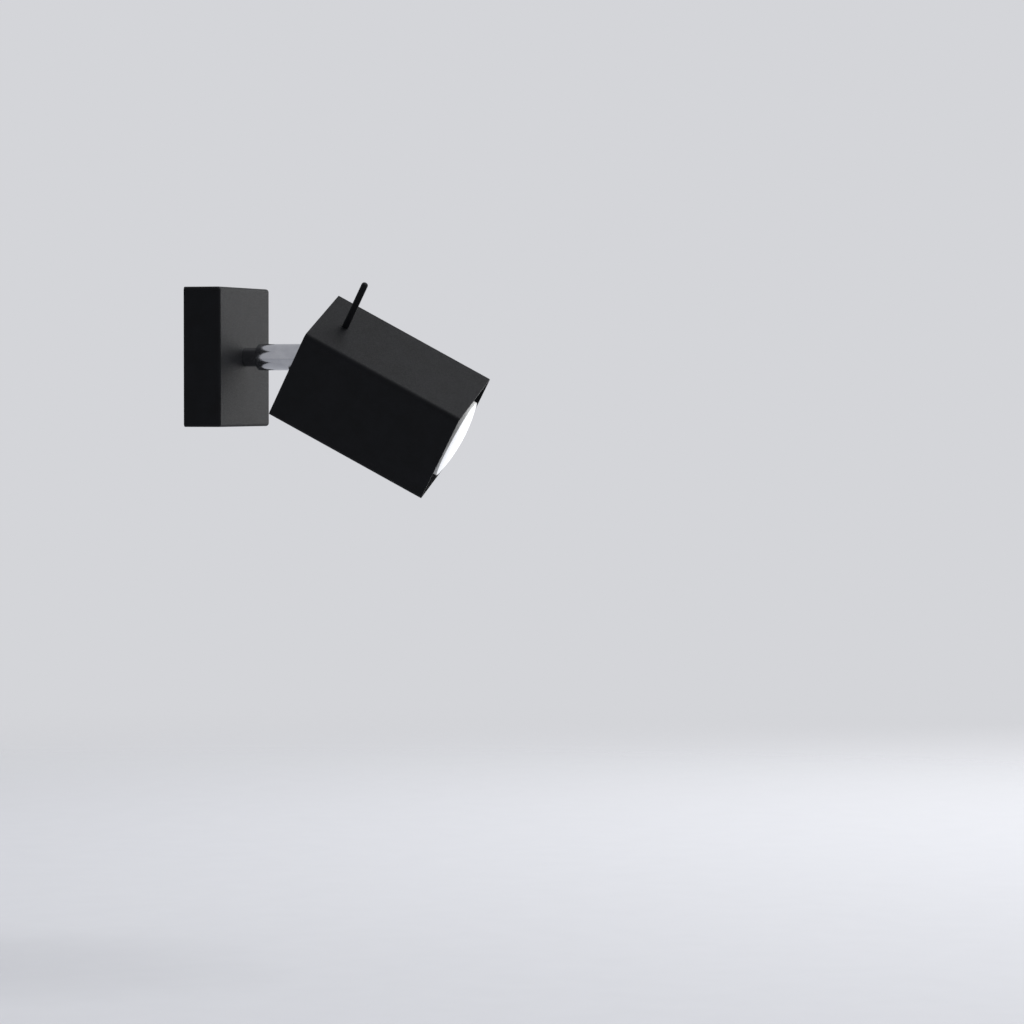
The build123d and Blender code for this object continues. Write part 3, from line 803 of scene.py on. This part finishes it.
@dataclass(frozen=True)
class BallStud(Assembly):
    """Hollow ball stud with the spring and nut that hold the head."""

    body: Body = Body.STUD
    place: Matrix = field(default_factory=AIM.stud)
    nut_across: float = 12.0
    nut_bore: float = 4.03
    nut_rear: float = 20.9
    nut_front: float = 24.9

    def build(self) -> None:
        """Makes the nut and dresses the stud."""
        self.dress({"ball_stud": POLISHED, "stud_spring": SPRING})
        nut = hex_nut(self.nut_across, self.nut_bore, self.nut_rear, self.nut_front)
        self.publish(nut, "stud_nut_turned", Slot.ZINC_STEEL, ZINC, ("stud_nut",), sharp=25.0)


@dataclass(frozen=True)
class Head(Assembly):
    """Square tube with its carrier, handle, lampholder and leads."""

    body: Body = Body.HEAD
    place: Matrix = field(default_factory=AIM.head)
    side: float = 62.0
    handle_at: float = 12.5
    handle_radius: float = 2.0
    handle_length: float = 33.0
    handle_tip: float = 1.5
    tip_facets: int = 6
    foot_chamfer: float = 0.15
    tail_radius: float = 1.5
    tail_length: float = 4.05
    tail_pitch: float = 0.5
    tail_chamfer: float = 0.3
    tail_plain: float = 0.4
    tail_thinner: float = 0.2

    def build(self) -> None:
        """Makes and dresses every piece of the head."""
        self.dress({"head_shell": BLACK_COAT, "slip_washer": NYLON, "shell_screw": BLACK_ZINC,
                    "bracket_screws": ZINC, "lampholder": STEATITE, "holder_screws": ZINC,
                    "head_leads": SLEEVE})
        self.press("carrier", "carrier_pressing")
        self.press("holder_bracket", "holder_strip")
        self.handle()

    def handle(self) -> None:
        """Round aiming handle with a domed tip and a threaded tail."""
        radius, top, tip = self.handle_radius, self.handle_length, self.handle_tip
        turns = [math.radians(90 * i / self.tip_facets) for i in range(self.tip_facets + 1)]
        arc = [(radius - tip * (1 - math.cos(a)), top - tip * (1 - math.sin(a))) for a in turns]
        tail = thread(self.tail_radius, -self.tail_length + self.tail_chamfer, -self.tail_plain,
                      self.tail_pitch)
        profile = [(0, -self.tail_length),
                   (self.tail_radius - self.tail_chamfer, -self.tail_length), *tail,
                   (self.tail_radius - self.tail_thinner, 0), (radius - self.foot_chamfer, 0),
                   (radius, self.foot_chamfer), *arc, (0, top)]
        bm = turned(profile, steps=48)
        foot = Matrix.Translation((0, self.side / 2, self.handle_at))
        bmesh.ops.transform(bm, matrix=foot @ Matrix.Rotation(math.radians(-90), 4, "X"),
                            verts=bm.verts)
        self.publish(bm, "handle_rod", Slot.BLACK_COAT, BLACK_COAT, ("aiming_handle",))


@dataclass(frozen=True)
class Lamp(Assembly):
    """Twist-lock reflector lamp: ribbed housing, opal lens and two pins."""

    body: Body = Body.LAMP
    place: Matrix = field(default_factory=AIM.head)
    face: float = 102.6
    shoulder: float = 56.8
    radius: float = 25.0
    facets: int = 112
    neck_radius: float = 13.5
    neck_length: float = 9.0
    neck_chamfer: float = 0.8
    neck_step: float = 0.6
    waist: float = 0.62
    rim_length: float = 6.3
    rim_edge: float = 0.5
    rim_round: float = 0.15
    lip: float = 0.9
    lip_chamfer: float = 0.1
    recess: float = 2.0
    lens_gap: float = 0.05
    dome: float = 3.0
    dome_facets: int = 12
    ribs: int = 28
    rib_width: float = 1.5
    rib_inset: float = 0.05
    rib_sink: float = 1.6
    rib_root: float = 0.6
    rib_round: float = 0.3
    pin_pitch: float = 10.0
    pin_neck: float = 1.5
    pin_head: float = 2.4
    pin_length: float = 7.0
    pin_head_length: float = 2.6
    pin_point: float = 0.4
    pin_back: float = 0.3

    def build(self) -> None:
        """Makes every piece of the lamp."""
        self.housing()
        self.cooling_ribs()
        self.lens()
        self.pins()

    def flare(self, sink: float, count: int = 14) -> list[tuple[float, float]]:
        """Outline of the flared body, from the neck to the rim.

        Args:
            sink: how far the outline lies inside the lamp's own.
            count: points on the curve.

        Returns:
            (radius, z) points.
        """
        start = Vector((self.neck_radius, self.shoulder + self.neck_length))
        end = Vector((self.radius, self.face - self.rim_length))
        middle = Vector((self.neck_radius + self.waist * (self.radius - self.neck_radius),
                         (start.y + end.y) / 2))
        bend = 2 * middle - (start + end) / 2
        points = []
        for i in range(count + 1):
            t = i / count
            p = (1 - t) ** 2 * start + 2 * t * (1 - t) * bend + t ** 2 * end
            points.append((p.x - sink, p.y))
        return points

    def housing(self) -> None:
        """Moulded housing: neck, flared core and the rim that holds the lens."""
        radius, face, shoulder = self.radius, self.face, self.shoulder
        rim, seat, lip = face - self.rim_length, face - self.recess, radius - self.lip
        profile = [(0, shoulder), (self.neck_radius - self.neck_chamfer, shoulder),
                   (self.neck_radius, shoulder + self.neck_chamfer),
                   (self.neck_radius, shoulder + self.neck_length - self.neck_step),
                   *self.flare(self.rib_sink)[1:-1],
                   (radius - self.rim_edge, rim), (radius, rim + self.rim_edge),
                   (radius, face - self.rim_edge),
                   (radius - self.rim_round, face - self.rim_round),
                   (radius - self.rim_edge, face), (lip + self.lip_chamfer, face),
                   (lip, face - self.lip_chamfer), (lip, seat), (0, seat)]
        self.publish(turned(profile, self.facets), "lamp_housing", Slot.LAMP_WHITE, LAMP_WHITE,
                     ("lamp_body",))

    def cooling_ribs(self) -> None:
        """Ribs round the flared core, each a flat sheet rooted in it."""
        bm = bmesh.new()
        outer = self.flare(self.rib_inset)[1:]
        inner = self.flare(self.rib_sink + self.rib_root)[1:]
        corners = [bm.verts.new((x, -self.rib_width / 2, z)) for x, z in outer + inner[::-1]]
        sheet = bm.faces.new(corners)
        thick = bmesh.ops.extrude_face_region(bm, geom=[sheet])["geom"]
        bmesh.ops.translate(bm, vec=(0, self.rib_width, 0),
                            verts=[v for v in thick if isinstance(v, bmesh.types.BMVert)])
        bmesh.ops.recalc_face_normals(bm, faces=bm.faces)
        ease(bm, self.rib_round)
        spots = [Matrix.Rotation(math.tau * (i + 0.5) / self.ribs, 4, "Z")
                 for i in range(self.ribs)]
        self.publish(repeat(bm, spots), "lamp_cooling_ribs", Slot.LAMP_WHITE, LAMP_WHITE)

    def lens(self) -> None:
        """Opal lens with a shallow dome, seated in the rim."""
        edge = self.radius - self.lip - self.lens_gap
        ball = (edge ** 2 + self.dome ** 2) / (2 * self.dome)
        centre = self.face + self.dome - ball
        span = math.asin(edge / ball)
        turns = [span * (1 - i / self.dome_facets) for i in range(self.dome_facets + 1)]
        arc = [(ball * math.sin(a), centre + ball * math.cos(a)) for a in turns]
        seat = self.face - self.recess
        self.publish(turned([(0, seat), (edge, seat), *arc], self.facets), "lamp_opal_lens",
                     Slot.LAMP_LENS, LENS, ("lamp_lens",))

    def pins(self) -> None:
        """Two headed pins that lock in the lampholder."""
        low = self.shoulder - self.pin_length
        neck = low + self.pin_head_length
        head, point, back = self.pin_head, self.pin_point, self.pin_back
        profile = [(0, low), (head - point, low), (head, low + point), (head, neck - back),
                   (head - back, neck), (self.pin_neck, neck), (self.pin_neck, self.shoulder),
                   (0, self.shoulder)]
        spots = [Matrix.Translation((0, side * self.pin_pitch / 2, 0)) for side in (1, -1)]
        self.publish(repeat(turned(profile, steps=40), spots), "lamp_lock_pins", Slot.BRASS,
                     BRASS, ("lamp_pins",))


# ---------------------------------------------------------------------------- studio
@dataclass(frozen=True)
class Softbox:
    """One area light: where it stands and aims, in metres, and how strong it is.

    level is the light it throws on a surface that faces it, where 1 shows colours as written.
    """

    name: str
    spot: tuple[float, float, float]
    size: float
    level: float

    def build(self, target: Vector) -> None:
        """Makes the light.

        Args:
            target: point that it is aimed at.
        """
        lamp = bpy.data.lights.new(self.name, "AREA")
        lamp.shape = "SQUARE"
        lamp.size = self.size
        way = target - Vector(self.spot)
        lamp.energy = self.level * (math.pi * way.length) ** 2
        stand = bpy.data.objects.new(self.name, lamp)
        stand.location = self.spot
        stand.rotation_mode = "QUATERNION"
        stand.rotation_quaternion = way.to_track_quat("-Z", "Y")
        bpy.context.scene.collection.objects.link(stand)


@dataclass(frozen=True)
class Studio:
    """Camera at the photograph's viewpoint, pale surroundings and soft light.

    Lengths are metres, apart from those named mm, and picture and horizon_row are pixels. The
    world is dim from where the cosine of the angle to bright_way is dim_cosine.
    """

    camera_at: tuple[float, float, float] = (-2.52359, -0.99025, -0.02099)
    camera_look: tuple[float, float, float] = (0.95353, 0.30130, 0.0)
    camera_reach: tuple[float, float] = (0.05, 60.0)
    lens_mm: float = 156.394
    sensor_mm: float = 36.0
    picture: float = 1024.0
    horizon_row: float = 391.9
    floor_z: float = -0.36
    floor_near: float = 0.5
    floor_far: float = 2.2
    floor_shade: str = "#d0d1d5"
    speckle_mm: float = 30.0
    pale: str = "#d4d5d9"
    dim: str = "#4a4b4f"
    bright: str = "#e6e7ea"
    bright_way: tuple[float, float, float] = (0.70, -0.25, 0.67)
    dim_cosine: float = -0.8
    target: tuple[float, float, float] = (0.0, -0.08, -0.01)
    softboxes: tuple[Softbox, ...] = (Softbox("key_softbox", (0.8, -1.3, 1.7), 1.6, 0.70),
                                      Softbox("side_softbox", (1.7, -0.7, 0.15), 1.2, 0.35))

    def build(self) -> None:
        """Makes the camera, the world, the floor and the lights."""
        self.camera()
        self.world()
        self.floor()
        for box in self.softboxes:
            box.build(Vector(self.target))
        bpy.context.scene.view_settings.view_transform = "Standard"

    def camera(self) -> None:
        """Places the camera that the photograph was taken from, pitched down to its horizon."""
        data = bpy.data.cameras.new("viewpoint")
        data.sensor_width = self.sensor_mm
        data.lens = self.lens_mm
        data.clip_start, data.clip_end = self.camera_reach
        drop = (self.picture / 2 - self.horizon_row) / self.picture * self.sensor_mm
        look = Vector(self.camera_look).normalized() * self.lens_mm - Vector((0, 0, drop))
        eye = bpy.data.objects.new("viewpoint", data)
        eye.location = self.camera_at
        eye.rotation_mode = "QUATERNION"
        eye.rotation_quaternion = look.to_track_quat("-Z", "Y")
        bpy.context.scene.collection.objects.link(eye)
        bpy.context.scene.camera = eye

    def world(self) -> None:
        """Pale plain surroundings to look at, and soft light that falls from bright_way."""
        world = bpy.data.worlds.new("surroundings")
        world.use_nodes = True
        tree = world.node_tree
        tree.nodes.clear()
        way = add(tree, "TexCoord").outputs["Generated"]
        toward = add(tree, "VectorMath", {0: way, 1: self.bright_way}, operation="DOT_PRODUCT")
        share = add(tree, "MapRange", {"Value": toward.outputs["Value"],
                                       "From Min": self.dim_cosine, "From Max": 1.0},
                    interpolation_type="SMOOTHSTEP")
        around = add(tree, "Mix", {MIX_SHARE: share.outputs["Result"],
                                   MIX_FIRST: linear(self.dim),
                                   MIX_SECOND: linear(self.bright)}, data_type="RGBA")
        lit = add(tree, "Background", {"Color": around.outputs[MIX_RESULT], "Strength": 1.0})
        seen = add(tree, "Background", {"Color": linear(self.pale), "Strength": 1.0})
        rays = add(tree, "LightPath")
        mirrored = add(tree, "Math", {0: rays.outputs["Is Camera Ray"],
                                      1: rays.outputs["Is Glossy Ray"]}, operation="MAXIMUM")
        clear = add(tree, "Math", {0: mirrored.outputs[0],
                                   1: rays.outputs["Is Transmission Ray"]}, operation="MAXIMUM")
        both = add(tree, "MixShader", {0: clear.outputs[0], 1: lit.outputs[0],
                                       2: seen.outputs[0]})
        add(tree, "OutputWorld", {"Surface": both.outputs[0]})
        bpy.context.scene.world = world

    def floor(self) -> None:
        """Pale matt floor, well below the light, that fades out and is clear from underneath."""
        bm = bmesh.new()
        bmesh.ops.create_circle(bm, cap_ends=True, radius=self.floor_far, segments=96)
        bmesh.ops.translate(bm, vec=(0, 0, self.floor_z), verts=bm.verts)
        mesh = bpy.data.meshes.new("studio_floor")
        bm.to_mesh(mesh)
        bm.free()
        made = bpy.data.materials.new("pale_floor")
        made.use_nodes = True
        tree = made.node_tree
        tree.nodes.clear()
        where = add(tree, "TexCoord").outputs["Object"]
        flat = add(tree, "VectorMath", {0: where, 1: (1.0, 1.0, 0.0)}, operation="MULTIPLY")
        out = add(tree, "VectorMath", {0: flat.outputs["Vector"]}, operation="LENGTH")
        fade = add(tree, "MapRange", {"Value": out.outputs["Value"], "From Min": self.floor_near,
                                      "From Max": self.floor_far},
                   interpolation_type="SMOOTHERSTEP")
        speckle = add(tree, "TexNoise", {"Vector": where, "Scale": per_mm(self.speckle_mm),
                                         "Detail": 4.0})
        shade = add(tree, "Mix", {MIX_SHARE: speckle.outputs["Fac"],
                                  MIX_FIRST: linear(self.floor_shade),
                                  MIX_SECOND: linear(self.pale)}, data_type="RGBA")
        matt = add(tree, "BsdfDiffuse", {"Color": shade.outputs[MIX_RESULT]})
        gone = add(tree, "BsdfTransparent")
        under = add(tree, "NewGeometry").outputs["Backfacing"]
        clear = add(tree, "Math", {0: fade.outputs["Result"], 1: under}, operation="MAXIMUM")
        both = add(tree, "MixShader", {0: clear.outputs[0], 1: matt.outputs[0],
                                       2: gone.outputs[0]})
        add(tree, "OutputMaterial", {"Surface": both.outputs[0]})
        mesh.materials.append(made)
        floor = bpy.data.objects.new("studio_floor", mesh)
        bpy.context.scene.collection.objects.link(floor)


def main() -> None:
    """Builds the studio and every sub-assembly."""
    logging.basicConfig(level=logging.INFO, format="%(name)s: %(message)s")
    Studio().build()
    for part in (WallBase(), Arm(), BallStud(), Head(), Lamp()):
        log.info("building %s", type(part).__name__)
        part.build()


if __name__ == "__main__":
    main()
